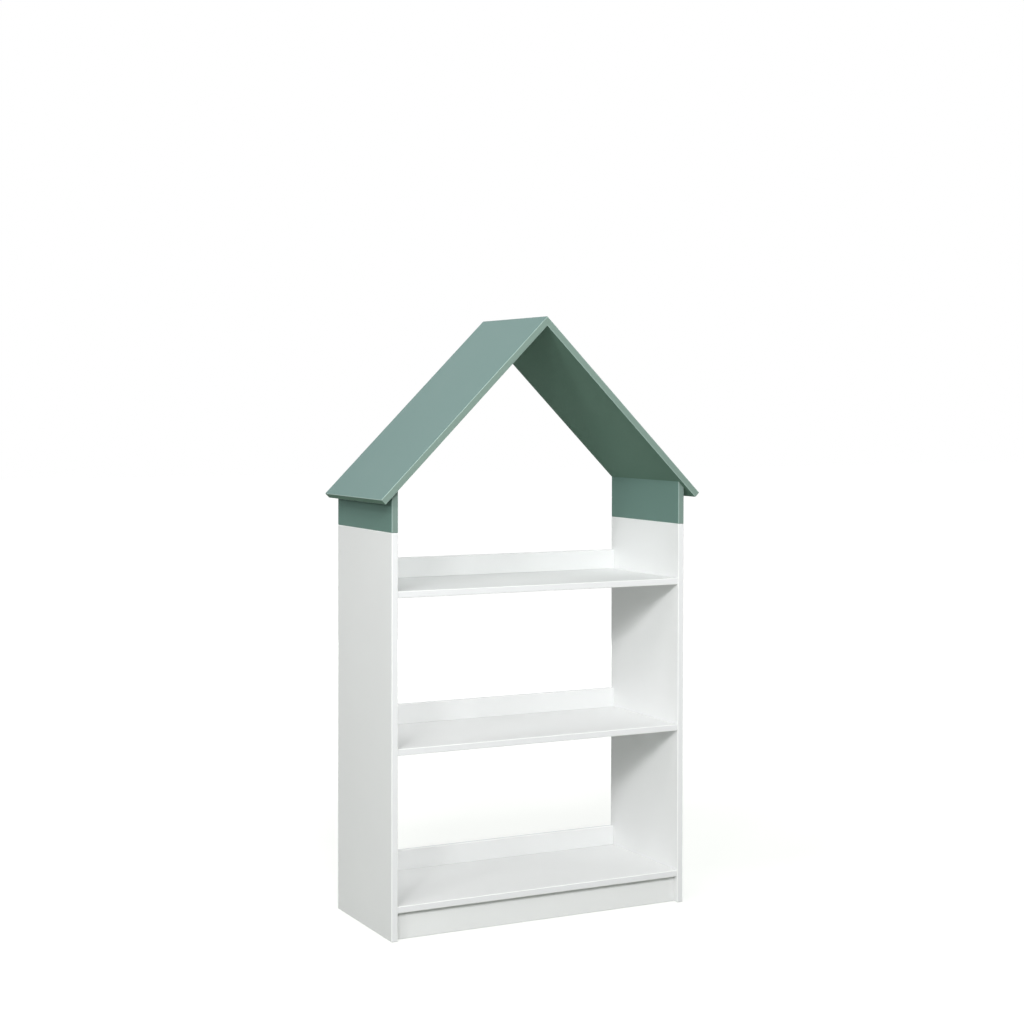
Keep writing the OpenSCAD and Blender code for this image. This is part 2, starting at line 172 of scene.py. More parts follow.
def lacquerMaterial(name, look, turn):
    material, tree = newMaterial(name)
    spot = addNode(tree, "ShaderNodeTexCoord")
    boardSpot = addNode(
        tree, "ShaderNodeMapping", {"Rotation": turn}, {"Vector": spot.outputs["Object"]}
    )
    boardNormal = addNode(
        tree, "ShaderNodeMapping", {"vector_type": "NORMAL", "Rotation": turn},
        {"Vector": spot.outputs["Normal"]},
    )
    facing = addNode(tree, "ShaderNodeSeparateXYZ", links={0: boardNormal.outputs[0]})
    faceShare = addNode(
        tree, "ShaderNodeMath", {"operation": "ABSOLUTE"}, {0: facing.outputs["X"]}
    )
    across = {"Value": faceShare.outputs[0]}
    edgeShare, fromFace, fromEdge = (
        addNode(tree, "ShaderNodeMapRange", fromTo(*finishZones[zone]), across)
        for zone in ("edge", "arrisFromFace", "arrisFromEdge")
    )
    # the arris lies between face and edge
    arrisShare = addNode(
        tree, "ShaderNodeMath", {"operation": "MULTIPLY"},
        {0: fromFace.outputs[0], 1: fromEdge.outputs[0]},
    )

    # thickness of the film, in soft patches
    patches = addNode(
        tree, "ShaderNodeTexNoise", {"Scale": perMm(look["patch"]), "Detail": 3.0},
        {"Vector": spot.outputs["Object"]},
    )
    film = addNode(
        tree, "ShaderNodeMix",
        {"data_type": "RGBA", 6: hexColour(look["thin"]), 7: hexColour(look["full"])},
        {0: patches.outputs["Fac"]},
    )

    # lines along the sawn edges
    stretch = addNode(
        tree, "ShaderNodeMapping",
        {"Scale": (perMm(look["line"]), perMm(look["lineLength"]), perMm(look["lineLength"]))},
        {"Vector": boardSpot.outputs[0]},
    )
    lines = addNode(
        tree, "ShaderNodeTexNoise", {"Scale": 1.0, "Detail": 2.0}, {"Vector": stretch.outputs[0]},
    )
    edgeFilm = addNode(
        tree, "ShaderNodeMix",
        {"data_type": "RGBA", 6: hexColour(look["edgeLine"]), 7: hexColour(look["edge"])},
        {0: lines.outputs["Fac"]},
    )
    colour = addNode(
        tree, "ShaderNodeMix", {"data_type": "RGBA"},
        {0: edgeShare.outputs[0], 6: film.outputs[2], 7: edgeFilm.outputs[2]},
    )
    # painted shade: the sides that look down get a deeper colour
    heading = addNode(tree, "ShaderNodeSeparateXYZ", links={0: spot.outputs["Normal"]})
    paintedShadeShare = addNode(
        tree, "ShaderNodeMapRange", fromTo(*finishZones["down"]), {"Value": heading.outputs["Z"]}
    )
    colour = addNode(
        tree, "ShaderNodeMix", {"data_type": "RGBA", 7: hexColour(look["under"])},
        {0: paintedShadeShare.outputs[0], 6: colour.outputs[2]},
    )
    # painted highlight: the arrises are mixed to a paler colour
    colour = addNode(
        tree, "ShaderNodeMix", {"data_type": "RGBA", 7: hexColour(look["paintedArrisHighlight"])},
        {0: arrisShare.outputs[0], 6: colour.outputs[2]},
    )

    faceRoughness = addNode(
        tree, "ShaderNodeMapRange", fromTo(*noiseSpan, *look["roughness"]),
        {"Value": patches.outputs["Fac"]},
    )
    roughness = addNode(
        tree, "ShaderNodeMix", {"data_type": "FLOAT", 3: look["edgeRoughness"]},
        {0: edgeShare.outputs[0], 2: faceRoughness.outputs[0]},
    )
    roughness = addNode(
        tree, "ShaderNodeMix", {"data_type": "FLOAT", 3: look["arrisRoughness"]},
        {0: arrisShare.outputs[0], 2: roughness.outputs[0]},
    )

    # orange peel everywhere, and the lines as faint ridges on the edges
    peel = addNode(
        tree, "ShaderNodeTexNoise", {"Scale": perMm(look["peel"]), "Detail": 1.0},
        {"Vector": spot.outputs["Object"]},
    )
    peelBump = addNode(
        tree, "ShaderNodeBump", {"Distance": look["peelHeight"] / 1000},
        {"Height": peel.outputs["Fac"]},
    )
    lineBump = addNode(
        tree, "ShaderNodeBump", {"Distance": look["lineHeight"] / 1000},
        {
            "Height": lines.outputs["Fac"],
            "Strength": edgeShare.outputs[0],
            "Normal": peelBump.outputs[0],
        },
    )
    shader = addNode(
        tree, "ShaderNodeBsdfPrincipled",
        {"IOR": look["ior"], "Specular IOR Level": look["specular"]},
        {
            "Base Color": colour.outputs[2],
            "Roughness": roughness.outputs[0],
            "Normal": lineBump.outputs[0],
        },
    )
    addNode(tree, "ShaderNodeOutputMaterial", links={"Surface": shader.outputs[0]})
    return material


for lie, names in boards.items():
    for name in names:
        if "upper" in name:
            # the upper sides take the darker copy of the sage lacquer, a painted shade
            title, look = "sageLacquer", shadedSageSides
        elif "roof" in name:
            title, look = "sageLacquer", sageLacquer
        else:
            title, look = "whiteLacquer", whiteLacquer
        title += lie[0].upper() + lie[1:]
        material = bpy.data.materials.get(title) or lacquerMaterial(title, look, boardTurns[lie])
        for slot in nodes[name].material_slots:
            slot.material = material
print("boards lacquered:", sum(len(names) for names in boards.values()))


# Fittings. Cam locks are die-cast zinc: a pale grey skin, finely grained and half dull.
dieCastZinc = {
    "bright": "#B9BCBF",
    "dull": "#A3A6AA",
    "roughness": (0.36, 0.5),
    "grain": 0.5,
    "grainHeight": 0.02,
    "cloud": 6,
}
# Cam bolts and screws are steel with bright zinc plating: bluish, smooth, with drawing lines
platedSteel = {
    "bright": "#CDD1D6",
    "dull": "#B4B9C0",
    "roughness": (0.2, 0.32),
    "grain": 0.25,
    "grainHeight": 0.006,
    "cloud": 9,
}
# Wall brackets are cut from hot dip galvanised strip: dull grey with small pale spangles
galvanisedSteel = {
    "bright": "#BEC2C6",
    "dull": "#AAAFB5",
    "roughness": (0.36, 0.48),
    "grain": 0.3,
    "grainHeight": 0.01,
    "cloud": 3.5,
}
# Dowels and biscuits are beech: straight pinkish tan grain with short dark flecks
beechWood = {
    "pale": "#DDBE95",
    "dark": "#C9A274",
    "fleck": "#A67C50",
    "roughness": (0.58, 0.7),
    "grain": 0.7,
    "grainLength": 14,
    "fleckWidth": 0.35,
    "fleckLength": 2.4,
    "fleckSpan": (0.64, 0.72),    # of the noise, where a fleck starts and is full
    "grainHeight": 0.05,
}
toneSpan = (0.25, 0.75)    # the same for the clouds and spangles of metal


def metalMaterial(name, look, pattern):
    material, tree = newMaterial(name)
    spot = addNode(tree, "ShaderNodeTexCoord")
    if pattern == "spangle":
        cloud = addNode(
            tree, "ShaderNodeTexVoronoi", {"Scale": perMm(look["cloud"]), "Randomness": 0.9},
            {"Vector": spot.outputs["Object"]},
        )
        channels = addNode(tree, "ShaderNodeSeparateColor", links={0: cloud.outputs["Color"]})
        tones = channels.outputs["Red"]
    else:
        cloud = addNode(
            tree, "ShaderNodeTexNoise", {"Scale": perMm(look["cloud"]), "Detail": 4.0},
            {"Vector": spot.outputs["Object"]},
        )
        tones = cloud.outputs["Fac"]
    colour = addNode(
        tree, "ShaderNodeMix",
        {"data_type": "RGBA", 6: hexColour(look["dull"]), 7: hexColour(look["bright"])}, {0: tones},
    )
    # the bright parts are the smooth ones
    smooth, rough = look["roughness"]
    roughness = addNode(
        tree, "ShaderNodeMapRange", fromTo(*toneSpan, rough, smooth), {"Value": tones}
    )
    grain = addNode(
        tree, "ShaderNodeTexNoise", {"Scale": perMm(look["grain"]), "Detail": 2.0},
        {"Vector": spot.outputs["Object"]},
    )
    bump = addNode(
        tree, "ShaderNodeBump", {"Distance": look["grainHeight"] / 1000},
        {"Height": grain.outputs["Fac"]},
    )
    shader = addNode(
        tree, "ShaderNodeBsdfPrincipled", {"Metallic": 1.0},
        {
            "Base Color": colour.outputs[2],
            "Roughness": roughness.outputs[0],
            "Normal": bump.outputs[0],
        },
    )
    addNode(tree, "ShaderNodeOutputMaterial", links={"Surface": shader.outputs[0]})
    return material


def beechMaterial(name, look, turn, embossed=None):
    # turn lays the grain along X
    material, tree = newMaterial(name)
    spot = addNode(tree, "ShaderNodeTexCoord")
    lie = addNode(
        tree, "ShaderNodeMapping", {"Rotation": turn}, {"Vector": spot.outputs["Object"]}
    )
    grainScale, fleckScale = (
        (perMm(length), perMm(width), perMm(width)) for length, width in
        ((look["grainLength"], look["grain"]), (look["fleckLength"], look["fleckWidth"]))
    )
    stretch = addNode(
        tree, "ShaderNodeMapping", {"Scale": grainScale}, {"Vector": lie.outputs[0]}
    )
    grain = addNode(
        tree, "ShaderNodeTexNoise", {"Scale": 1.0, "Detail": 3.0, "Distortion": 0.3},
        {"Vector": stretch.outputs[0]},
    )
    wood = addNode(
        tree, "ShaderNodeMix",
        {"data_type": "RGBA", 6: hexColour(look["dark"]), 7: hexColour(look["pale"])},
        {0: grain.outputs["Fac"]},
    )
    fleckStretch = addNode(
        tree, "ShaderNodeMapping", {"Scale": fleckScale}, {"Vector": lie.outputs[0]}
    )
    flecks = addNode(
        tree, "ShaderNodeTexNoise", {"Scale": 1.0, "Detail": 1.0},
        {"Vector": fleckStretch.outputs[0]},
    )
    fleckShare = addNode(
        tree, "ShaderNodeMapRange", fromTo(*look["fleckSpan"]), {"Value": flecks.outputs["Fac"]}
    )
    colour = addNode(
        tree, "ShaderNodeMix", {"data_type": "RGBA", 7: hexColour(look["fleck"])},
        {0: fleckShare.outputs[0], 6: wood.outputs[2]},
    )
    roughness = addNode(
        tree, "ShaderNodeMapRange", fromTo(*noiseSpan, *look["roughness"]),
        {"Value": grain.outputs["Fac"]},
    )
    normal = addNode(
        tree, "ShaderNodeBump", {"Distance": look["grainHeight"] / 1000},
        {"Height": grain.outputs["Fac"]},
    )
    if embossed:
        # pressed diamonds: two sets of ridges that cross
        ridges = []
        for side in (1, -1):
            ridgeSpot = addNode(
                tree, "ShaderNodeMapping", {"Rotation": (0, 0, side * embossed["angle"])},
                {"Vector": spot.outputs["Object"]},
            )
            # a wave texture of scale 1 repeats every pi / 10
            ridges.append(addNode(
                tree, "ShaderNodeTexWave", {"Scale": perMm(embossed["spacing"]) * math.pi / 10},
                {"Vector": ridgeSpot.outputs[0]},
            ))
        crossed = addNode(
            tree, "ShaderNodeMath", {"operation": "MAXIMUM"},
            {0: ridges[0].outputs["Fac"], 1: ridges[1].outputs["Fac"]},
        )
        normal = addNode(
            tree, "ShaderNodeBump", {"Distance": embossed["height"] / 1000},
            {"Height": crossed.outputs[0], "Normal": normal.outputs[0]},
        )
    shader = addNode(
        tree, "ShaderNodeBsdfPrincipled",
        links={
            "Base Color": colour.outputs[2],
            "Roughness": roughness.outputs[0],
            "Normal": normal.outputs[0],
        },
    )
    addNode(tree, "ShaderNodeOutputMaterial", links={"Surface": shader.outputs[0]})
    return material


castZinc = metalMaterial("dieCastZinc", dieCastZinc, "cloud")
brightZinc = metalMaterial("zincPlatedSteel", platedSteel, "cloud")
stripSteel = metalMaterial("galvanisedSteel", galvanisedSteel, "spangle")
beech = {
    "x": beechMaterial("beechGrainX", beechWood, (0, 0, 0)),
    "y": beechMaterial("beechGrainY", beechWood, (0, 0, math.radians(-90))),
    "z": beechMaterial("beechGrainZ", beechWood, (0, math.radians(90), 0)),
}
pressedBeech = beechMaterial(
    "pressedBeech", beechWood, (0, 0, math.radians(40)),
    {"spacing": 2.2, "angle": math.radians(30), "height": 0.25},
)
print("metal and wood ready")

# Where the joints lie, in millimetres as in the CAD model
joints = {
    "innerFace": 432,          # of the side panels, from the middle
    "shelfMiddles": (83, 499, 915),
    "shelfCams": (-128, 132),
    "shelfDowels": (-96, 100),
    "shelfRear": 182,
    "railMiddle": 191,
    "railCams": (124, 540, 956),
    "railDowels": (94, 510, 926),
    "plinthMiddle": -153,
    "plinthCam": 50,
    "plinthDowel": 20,
    "plinthTop": 74,
    "longJoints": (-288, 0, 288),
    "sideMiddle": 441,
    "sideTop": 1078,
    "bevelMiddle": 1189,
    "sideDowels": (-120, 10, 140),
    "biscuits": (-150, -50, 50, 150),
    "biscuitHeight": 1638.5,
    "bracketMiddle": 372,
    "bracketTop": 906,
    "bracketRear": 200,
    "screwGap": 16,
}


def place(origin, across, along):
    # joint frame: along points into the next board, across to the face that the cam turns from
    x, z = Vector(across), Vector(along)
    turn = Matrix((x, z.cross(x), z)).transposed().to_4x4()
    return Matrix.Scale(0.001, 4) @ Matrix.Translation(origin) @ turn


def bothEnds(depths, heights, across):
    # the same joints on the left and on the right side panel
    return [
        place((side * joints["innerFace"], y, z), across, (side, 0, 0))
        for side in (-1, 1) for z in heights for y in depths
    ]


leftToRight, backward, upward, downward = (1, 0, 0), (0, 1, 0), (0, 0, 1), (0, 0, -1)
camPlaces = {
    "shelf": bothEnds(joints["shelfCams"], joints["shelfMiddles"], downward),
    "rail": bothEnds([joints["railMiddle"]], joints["railCams"], backward),
    "plinth": bothEnds([joints["plinthMiddle"]], [joints["plinthCam"]], backward),
}


# What the tools below have in common, in millimetres
making = {
    "merge": 0.001,
    "slack": 0.1,              # in picking vertices by their place
    "facing": 0.9,             # least share of the normal in picking faces by their side
    "cutPast": 1,              # that a cutter reaches out of the piece
    "bevelSteps": 2,
    "smoothAngle": math.radians(35),
    "rodSides": 32,
    "spinStep": 6,             # degrees
    "crossTaper": 0.5,
    "triangleHeight": 1.5,     # of a triangle in a circle of radius 1
    "triangleWidth": 1.732,
    "ridgeFoot": 0.2,          # of a thread's ridge, inside the core
    "runOutSteps": 6,
    "runOutShare": 0.25,
}
quarterTurn = math.radians(90)


def onlySelect(*pieces):
    bpy.ops.object.select_all(action="DESELECT")
    for piece in pieces:
        piece.select_set(True)
    bpy.context.view_layer.objects.active = pieces[0]


def finishPlace(piece):
    onlySelect(piece)
    bpy.ops.object.transform_apply(location=True, rotation=True, scale=True)


def editAll(piece):
    # edit mode, with all of the piece selected
    onlySelect(piece)
    bpy.ops.object.mode_set(mode="EDIT")
    bpy.ops.mesh.select_all(action="SELECT")


def editSome(piece, kind, wanted):
    # edit mode, with the vertices, edges or faces for which wanted(part) is true
    onlySelect(piece)
    bpy.ops.object.mode_set(mode="EDIT")
    bpy.ops.mesh.select_mode(type=kind)
    bpy.ops.mesh.select_all(action="DESELECT")
    bpy.ops.object.mode_set(mode="OBJECT")
    mesh = piece.data
    for part in {"VERT": mesh.vertices, "EDGE": mesh.edges, "FACE": mesh.polygons}[kind]:
        part.select = wanted(part)
    bpy.ops.object.mode_set(mode="EDIT")


def endEdit():
    bpy.ops.object.mode_set(mode="OBJECT")


def applyAll(piece):
    onlySelect(piece)
    for modifier in list(piece.modifiers):
        bpy.ops.object.modifier_apply(modifier=modifier.name)


def combine(piece, other, operation):
    # a Boolean with another piece, which is used up
    combined = piece.modifiers.new("combined", "BOOLEAN")
    combined.operation = operation
    combined.solver = "EXACT"
    combined.object = other
    applyAll(piece)
    bpy.data.objects.remove(other)


def cutAway(piece, cutter):
    combine(piece, cutter, "DIFFERENCE")


def tidyMesh(piece):
    editAll(piece)
    bpy.ops.mesh.remove_doubles(threshold=making["merge"])
    bpy.ops.mesh.normals_make_consistent(inside=False)
    endEdit()
    bpy.ops.object.shade_smooth_by_angle(angle=making["smoothAngle"])
    # large faces stay flat beside their small bevels
    piece.modifiers.new("evenShade", "WEIGHTED_NORMAL").keep_sharp = True
    applyAll(piece)


def turnedPiece(name, profile, sides):
    # a disc, extruded and scaled along a profile of (radius, height), as on a lathe
    bpy.ops.object.select_all(action="DESELECT")
    radius, height = profile[0]
    bpy.ops.mesh.primitive_circle_add(
        vertices=sides, radius=radius, fill_type="NGON", location=(0, 0, height)
    )
    piece = bpy.context.object
    piece.name = name
    finishPlace(piece)
    editAll(piece)
    for nextRadius, nextHeight in profile[1:]:
        bpy.ops.mesh.extrude_region_move(
            TRANSFORM_OT_translate={"value": (0, 0, nextHeight - height)}
        )
        bpy.ops.transform.resize(value=(nextRadius / radius, nextRadius / radius, 1))
        radius, height = nextRadius, nextHeight
    endEdit()
    tidyMesh(piece)
    return piece


def block(size, centre, turn=(0, 0, 0)):
    # a plain box, used only as a cutter
    bpy.ops.object.select_all(action="DESELECT")
    bpy.ops.mesh.primitive_cube_add(size=1, location=centre, rotation=turn)
    box = bpy.context.object
    box.scale = size
    finishPlace(box)
    return box


def rod(radius, length, centre, turn=(0, 0, 0)):
    # a plain rod, used only as a cutter
    bpy.ops.object.select_all(action="DESELECT")
    bpy.ops.mesh.primitive_cylinder_add(
        vertices=making["rodSides"], radius=radius, depth=length, location=centre, rotation=turn
    )
    pin = bpy.context.object
    finishPlace(pin)
    return pin


def crossCutter(length, width, depth, height, turn=0):
    # a cross that narrows downwards, for a screwdriver
    arms = []
    for angle in (turn, turn + 90):
        arm = block((length, width, 2 * depth), (0, 0, height), (0, 0, math.radians(angle)))
        editSome(arm, "FACE", lambda face: face.normal.z < -making["facing"])
        bpy.ops.transform.resize(value=(making["crossTaper"], making["crossTaper"], 1))
        endEdit()
        arms.append(arm)
    combine(*arms, "UNION")
    return arms[0]


def sweptCutter(inner, outer, height, thickness, start, end):
    # a rectangle spun round the middle, for a groove between two angles in degrees
    bpy.ops.object.select_all(action="DESELECT")
    bpy.ops.mesh.primitive_plane_add(
        size=1, location=((inner + outer) / 2, 0, height), rotation=(quarterTurn, 0, 0)
    )
    groove = bpy.context.object
    groove.scale = (outer - inner, thickness, 1)
    finishPlace(groove)
    editAll(groove)
    bpy.ops.mesh.spin(
        steps=round((end - start) / making["spinStep"]), angle=math.radians(end - start),
        center=(0, 0, 0), axis=(0, 0, 1),
    )
    bpy.ops.mesh.select_all(action="SELECT")
    bpy.ops.mesh.normals_make_consistent(inside=False)
    endEdit()
    groove.rotation_euler = (0, 0, math.radians(start))
    finishPlace(groove)
    return groove


def threadOn(piece, thread):
    # a ridge of triangular section, wound by a Screw modifier, with its foot inside the core
    bpy.ops.object.select_all(action="DESELECT")
    depth = thread["crest"] - thread["core"] + making["ridgeFoot"]
    scale = depth / making["triangleHeight"]
    bpy.ops.mesh.primitive_circle_add(
        vertices=3, radius=1, location=(thread["crest"] - scale, 0, thread["start"]),
        rotation=(quarterTurn, quarterTurn, 0),
    )
    ridge = bpy.context.object
    ridge.scale = (thread["ridge"] / making["triangleWidth"], scale, 1)
    finishPlace(ridge)
    turns = (thread["end"] - thread["start"]) / thread["pitch"]
    wind = ridge.modifiers.new("wind", "SCREW")
    wind.angle = turns * 2 * math.pi
    wind.screw_offset = thread["end"] - thread["start"]
    wind.steps = wind.render_steps = round(turns * thread["steps"])
    applyAll(ridge)
    # the ridge runs out at its ends, and follows a point where there is one
    count = len(ridge.data.vertices) // 3
    tipStart, tipEnd = thread["tip"]
    for step in range(count):
        height = ridge.data.vertices[3 * step].co.z
        fromEnd = min(step + 1, count - step) / making["runOutSteps"]
        fit = 1 - making["runOutShare"] * (1 - min(1, fromEnd))
        fit *= min(1, (tipEnd - height) / (tipEnd - tipStart))
        if fit < 1:
            onlySelect(ridge)
            for vertex in ridge.data.vertices:
                vertex.select = vertex.index // 3 == step
            bpy.ops.object.mode_set(mode="EDIT")
            bpy.ops.transform.resize(value=(fit, fit, 1), center_override=(0, 0, 0))
            endEdit()
    editAll(ridge)
    bpy.ops.mesh.fill_holes(sides=3)
    bpy.ops.mesh.normals_make_consistent(inside=False)
    endEdit()
    bpy.ops.object.shade_smooth_by_angle(angle=making["smoothAngle"])
    onlySelect(piece, ridge)
    bpy.ops.object.join()


def turnOver(piece):
    piece.rotation_euler = (math.radians(180), 0, 0)
    finishPlace(piece)


def threadedPiece(name, shape):
    # turned, marked with a cross in its head, which is turned up for that, and threaded
    piece = turnedPiece(name, shape["profile"], shape["sides"])
    turnOver(piece)
    cutAway(piece, crossCutter(*shape["cross"], -shape["profile"][0][1]))
    turnOver(piece)
    tidyMesh(piece)
    threadOn(piece, shape["thread"])
    return piece


def setOut(piece, name, places, node, material):
    # copies of the piece at all its places, joined into the one that stands for the CAD node
    copies = []
    for here in places:
        copy = piece.copy()
        copy.data = piece.data.copy()
        copy.data.transform(here)
        bpy.context.collection.objects.link(copy)
        copies.append(copy)
    onlySelect(*copies)
    if len(copies) > 1:
        bpy.ops.object.join()
    whole = bpy.context.object
    whole.name = whole.data.name = name
    whole.data.materials.clear()
    whole.data.materials.append(material)
    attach(whole, "root")
    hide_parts(node)


# Cam lock: a drum with a dished face and a driver's cross. Its groove takes the bolt's neck,
# and the pocket behind the groove draws the bolt's head in as the drum turns.
camLock = {
    "radius": 7.5,
    "height": 13.3,
    "bevel": 0.4,
    "sides": 64,
    "rim": 1.0,
    "dish": 0.35,
    "dishTaper": 0.97,
    "cross": (9, 1.6, 2.4),    # length, width, depth
    "crossTurn": 45,
    "boltDepth": 8.8,          # bolt's axis under the face
    "headPocket": 7.4,
    "headHole": 3.5,           # depth of the hole that the head goes in by
    "headHoleMiddle": -1.05,
    "headPath": (0.9, 4.7),    # radii of the pocket behind the groove
    "headStart": 112,          # degrees
    "neckSlot": 4.4,
    "neckPath": 1.9,           # inner radius of the groove
    "neckStart": 73,
    "sweep": 135,              # degrees from the locked to the open place
    "arrow": 0.7,
    "arrowPlace": 5.1,         # from the drum's axis
    "arrowFoot": 0.1,
    "arrowHeight": 0.3,
    "arrowTaper": 0.8,
    "backTo": 24,              # drum's axis behind the joint
}
radius, bevel, height = camLock["radius"], camLock["bevel"], camLock["height"]
lock = turnedPiece("camLock", [
    (radius - bevel, -height), (radius, bevel - height), (radius, -bevel), (radius - bevel, 0),
], camLock["sides"])
editSome(lock, "FACE", lambda face: face.normal.z > making["facing"])
bpy.ops.mesh.inset(thickness=camLock["rim"])
bpy.ops.mesh.extrude_region_move(TRANSFORM_OT_translate={"value": (0, 0, -camLock["dish"])})
bpy.ops.transform.resize(value=(camLock["dishTaper"], camLock["dishTaper"], 1))
endEdit()
deep = -camLock["boltDepth"]
pocket = camLock["headPocket"]
through = radius + making["cutPast"]
openAt = 90 + camLock["sweep"]
openWay = Vector((math.cos(math.radians(openAt)), math.sin(math.radians(openAt)), 0))
for cutter in (
    rod(pocket / 2, camLock["headHole"], (0, camLock["headHoleMiddle"], deep), (quarterTurn, 0, 0)),
    sweptCutter(*camLock["headPath"], deep, pocket, camLock["headStart"], openAt),
    sweptCutter(
        camLock["neckPath"], through, deep, camLock["neckSlot"], camLock["neckStart"], openAt
    ),
    rod(
        pocket / 2, through, openWay * through / 2 + Vector((0, 0, deep)),
        (0, quarterTurn, math.radians(openAt)),
    ),
    crossCutter(*camLock["cross"], 0, camLock["crossTurn"]),
):
    cutAway(lock, cutter)
tidyMesh(lock)
arrowDown = Vector((0, 0, -camLock["dish"] - camLock["arrowFoot"]))
bpy.ops.object.select_all(action="DESELECT")
bpy.ops.mesh.primitive_circle_add(
    vertices=3, radius=camLock["arrow"], fill_type="NGON",
    location=openWay * camLock["arrowPlace"] + arrowDown,
    rotation=(0, 0, math.radians(openAt - 90)),
)
arrow = bpy.context.object
finishPlace(arrow)
editAll(arrow)
bpy.ops.mesh.extrude_region_move(TRANSFORM_OT_translate={"value": (0, 0, camLock["arrowHeight"])})
bpy.ops.transform.resize(value=(camLock["arrowTaper"], camLock["arrowTaper"], 1))
endEdit()
tidyMesh(arrow)
onlySelect(lock, arrow)
bpy.ops.object.join()

# from the drum's own frame to the joint's: its face looks across, its open side along
toJoint = Matrix((
    (0, 0, 1, camLock["boltDepth"]),
    (1, 0, 0, 0),
    (0, 1, 0, -camLock["backTo"]),
    (0, 0, 0, 1),
))
for board, places in camPlaces.items():
    lockPlaces = [here @ toJoint for here in places]
    setOut(lock, board + "CamLocks", lockPlaces, board + "_cam_locks", castZinc)
bpy.data.objects.remove(lock)
print("cam locks made")

# Cam bolt: chipboard thread in the side panel, collar, shank, thin neck and head in the drum
camBolt = {
    "profile": [   # radius and height, from the head to the thread's end
        (1.5, -26.5), (2.6, -26.3), (3.25, -25.7), (3.4, -25.3), (3.4, -23.8), (3.2, -23.5),
        (1.9, -23.5), (1.9, -16.4), (2.2, -16), (2.9, -15.4), (2.9, -1.5), (3.7, -1.5),
        (3.7, -0.25), (3.5, 0), (2.35, 0), (2.35, 9.6), (1.5, 10.8), (0.8, 11),
    ],
    "sides": 32,
    "thread": {
        "core": 2.35, "crest": 3.15, "ridge": 1.25, "pitch": 2.2, "start": 0.9, "end": 10,
        "steps": 28, "tip": (9.4, 11.6),
    },
    "cross": (3.6, 0.9, 1.4),
}
bolt = threadedPiece("camBolt", camBolt)
for board, places in camPlaces.items():
    setOut(bolt, board + "CamBolts", places, board + "_cam_bolts", brightZinc)
bpy.data.objects.remove(bolt)
print("cam bolts made")

# Dowel: fluted, so that glue spreads along it, with bevelled ends
flutedDowel = {
    "radius": 4,
    "length": 30,
    "bevel": 1,
    "flutes": 20,
    "fluteDepth": 0.35,
    "inFace": 10,
    "inSide": 15,
    "inRoof": 14,
    "smoothAngle": math.radians(20),
}
radius, length, bevel = flutedDowel["radius"], flutedDowel["length"], flutedDowel["bevel"]
sides = 3 * flutedDowel["flutes"]
dowel = turnedPiece("flutedDowel", [
    (radius - bevel, 0), (radius, bevel), (radius, length - bevel), (radius - bevel, length),
], sides)


def inFlute(vertex):
    # one line of vertices in three, without the ends
    line = round(math.degrees(math.atan2(vertex.co.y, vertex.co.x)) * sides / 360)
    return line % 3 == 0 and bevel / 2 < vertex.co.z < length - bevel / 2


editSome(dowel, "VERT", inFlute)
inward = 1 - flutedDowel["fluteDepth"] / radius
bpy.ops.transform.resize(value=(inward, inward, 1))
endEdit()
bpy.ops.object.shade_smooth_by_angle(angle=flutedDowel["smoothAngle"])

shelfEnds = bothEnds(joints["shelfDowels"], joints["shelfMiddles"], downward)
railEnds = bothEnds([joints["railMiddle"]], joints["railDowels"], downward)
plinthEnds = bothEnds([joints["plinthMiddle"]], [joints["plinthDowel"]], downward)
railJoints = [
    place((x, joints["shelfRear"], z), leftToRight, backward)
    for z in joints["shelfMiddles"] for x in joints["longJoints"]
]
plinthJoints = [
    place((x, joints["plinthMiddle"], joints["plinthTop"]), leftToRight, upward)
    for x in joints["longJoints"]
]
sideJoints, roofJoints = (
    [
        place((side * joints["sideMiddle"], y, joints[height]), leftToRight, upward)
        for side in (-1, 1) for y in joints["sideDowels"]
    ]
    for height in ("sideTop", "bevelMiddle")
)
for name, node, frames, depth, grain in (
    ("shelfEndDowels", "shelf_end_dowels", shelfEnds, "inFace", "x"),
    ("railEndDowels", "rail_end_dowels", railEnds, "inFace", "x"),
    ("plinthEndDowels", "plinth_end_dowels", plinthEnds, "inFace", "x"),
    ("shelfToRailDowels", "shelf_to_rail_dowels", railJoints, "inFace", "y"),
    ("plinthToShelfDowels", "plinth_to_shelf_dowels", plinthJoints, "inFace", "z"),
    ("upperSideDowels", "upper_side_dowels", sideJoints, "inSide", "z"),
    ("roofDowels", "roof_dowels", roofJoints, "inRoof", "z"),
):
    sunk = Matrix.Translation((0, 0, flutedDowel[depth] - length))
    setOut(dowel, name, [here @ sunk for here in frames], node, beech[grain])
bpy.data.objects.remove(dowel)
print("dowels made")

# Biscuit: pressed beech, where two arcs of the slot cutter meet, with blunt ends
ridgeBiscuit = {
    "cutter": 50,     # radius of the slot cutter
    "sides": 128,
    "length": 47,
    "width": 15,
    "thickness": 4,
    "bevel": 0.4,
}
arcs = []
for side in (-1, 1):
    bpy.ops.object.select_all(action="DESELECT")
    bpy.ops.mesh.primitive_cylinder_add(
        vertices=ridgeBiscuit["sides"], radius=ridgeBiscuit["cutter"],
        depth=ridgeBiscuit["thickness"],
        location=(side * (ridgeBiscuit["cutter"] - ridgeBiscuit["width"] / 2), 0, 0),
    )
    finishPlace(bpy.context.object)
    arcs.append(bpy.context.object)
combine(*arcs, "INTERSECT")
biscuit = arcs[0]
for side in (-1, 1):
    editAll(biscuit)
    bpy.ops.mesh.bisect(
        plane_co=(0, side * ridgeBiscuit["length"] / 2, 0), plane_no=(0, side, 0),
        use_fill=True, clear_outer=True,
    )
    endEdit()
rounding = biscuit.modifiers.new("rounding", "BEVEL")
rounding.width = ridgeBiscuit["bevel"]
rounding.segments = making["bevelSteps"]
rounding.limit_method = "ANGLE"
applyAll(biscuit)
tidyMesh(biscuit)
